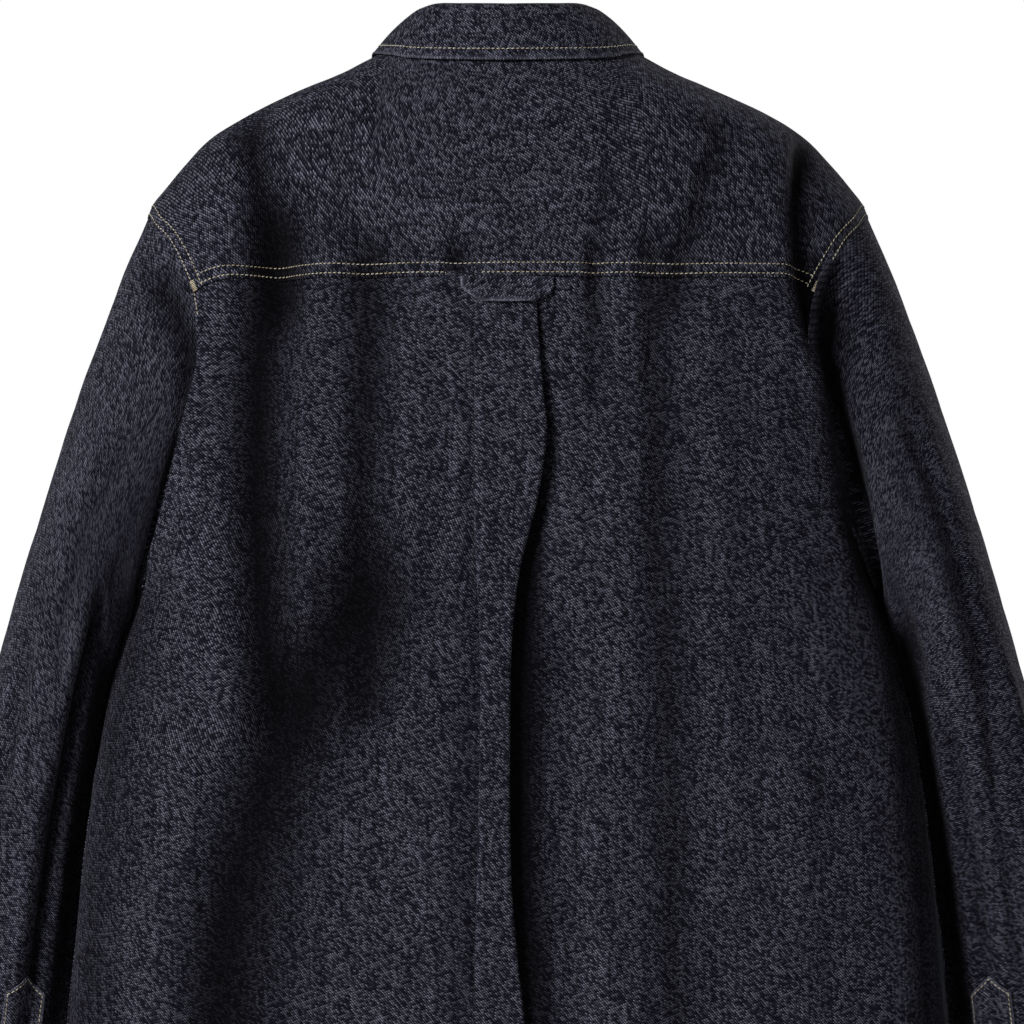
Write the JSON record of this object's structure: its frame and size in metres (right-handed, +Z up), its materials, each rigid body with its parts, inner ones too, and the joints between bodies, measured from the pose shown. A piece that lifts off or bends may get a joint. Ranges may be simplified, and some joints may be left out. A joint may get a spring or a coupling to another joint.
{
  "type": "denim shirt",
  "caption": "Long-sleeved denim shirt in its worn, hollow form, with a turned-down collar, back yoke, box pleat, hanger loop, buttoned front and buttoned cuffs.",
  "frame": {"origin": "middle of the neck opening, level with the collar seam at the sides of the neck, where the wearer's shoulders carry the shirt", "axes": "+Z up, -Y the way the wearer faces, +X the wearer's left"},
  "size_m": [0.8054, 0.2409, 0.7865],
  "materials": {
    "denim": "raw dark indigo twill, unwashed, matt with pale specks",
    "button": "dark horn-like resin, satin",
    "thread": "tobacco and cream sewing thread"
  },
  "bodies": {
    "root": {"back": "denim", "yoke": "denim", "front_left": "denim", "front_right": "denim", "front_placket": "denim", "sleeve_left": "denim", "sleeve_right": "denim", "cuff_left": "denim", "cuff_right": "denim", "sleeve_placket_left": "denim", "sleeve_placket_right": "denim", "collar": "denim", "collar_stand": "denim", "hanger_loop": "denim", "front_button_1": "button", "front_button_2": "button", "front_button_3": "button", "front_button_4": "button", "front_button_5": "button", "front_button_6": "button", "front_button_7": "button", "collar_button": "button", "cuff_button_left": "button", "cuff_button_right": "button"}
  },
  "joints": []
}
